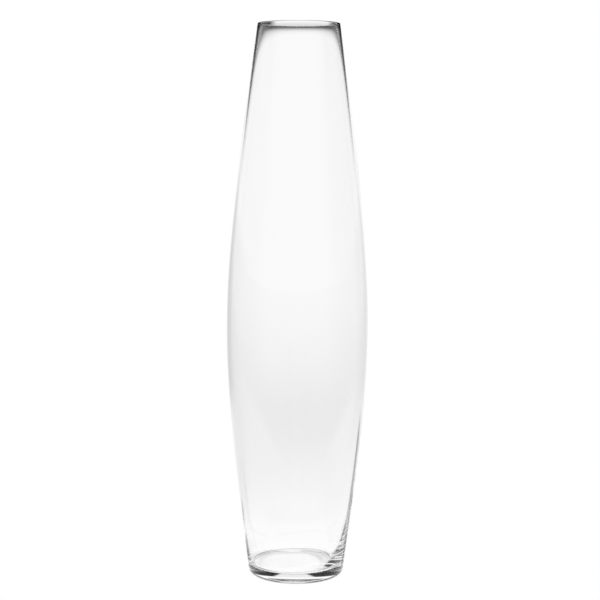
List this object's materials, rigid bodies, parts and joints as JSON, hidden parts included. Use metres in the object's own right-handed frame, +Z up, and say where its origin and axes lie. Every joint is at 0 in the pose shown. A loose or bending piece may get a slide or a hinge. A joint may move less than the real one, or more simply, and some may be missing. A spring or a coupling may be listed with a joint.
{
  "type": "bud vase",
  "caption": "Tall slender barrel-shaped vase of clear blown glass with a narrow open mouth, rounded lip and thick flat foot, for holding cut stems in water.",
  "frame": {"origin": "centre of the foot, on the plane of the ring that the vase stands on", "axes": "+Z up along the vase's axis, from the foot to the mouth; X and Y are free, because the body is round"},
  "size_m": [0.076, 0.076, 0.3],
  "materials": {
    "clear_glass": "clear colourless soda-lime glass, mouth-blown, fire-polished"
  },
  "bodies": {
    "root": {"glass_body": "clear_glass"}
  },
  "joints": []
}
